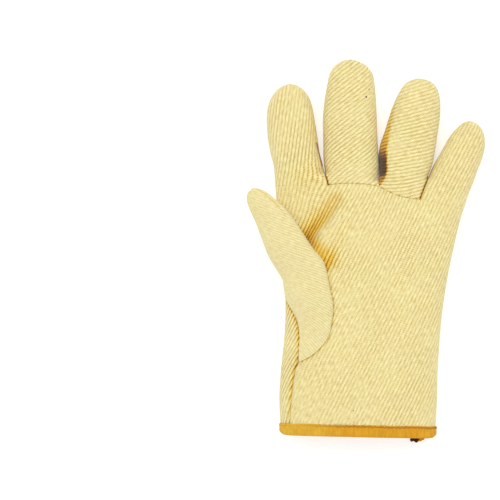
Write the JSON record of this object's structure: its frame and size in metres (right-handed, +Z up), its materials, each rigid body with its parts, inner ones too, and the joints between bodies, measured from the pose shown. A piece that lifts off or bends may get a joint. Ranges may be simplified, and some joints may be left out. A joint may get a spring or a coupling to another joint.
{
  "type": "heat-resistant work glove",
  "caption": "Left-hand heat-resistant work glove of ribbed aramid twill with a long straight cuff, set-in thumb and bound hem, lying palm up.",
  "frame": {"origin": "centre of the bounding box's bottom, on the floor the glove lies on", "axes": "+Y from the hem towards the fingertips, +X towards the little finger, +Z up, out of the palm"},
  "size_m": [0.1864, 0.3022, 0.0424],
  "materials": {
    "aramid_cloth": "matt ribbed twill, straw yellow",
    "binding_tape": "woven tape, ochre orange"
  },
  "bodies": {
    "root": {"back_panel": "aramid_cloth", "palm_panel": "aramid_cloth", "middle_finger_front": "aramid_cloth", "ring_finger_front": "aramid_cloth", "thumb": "aramid_cloth", "hem_binding": "binding_tape"}
  },
  "joints": []
}
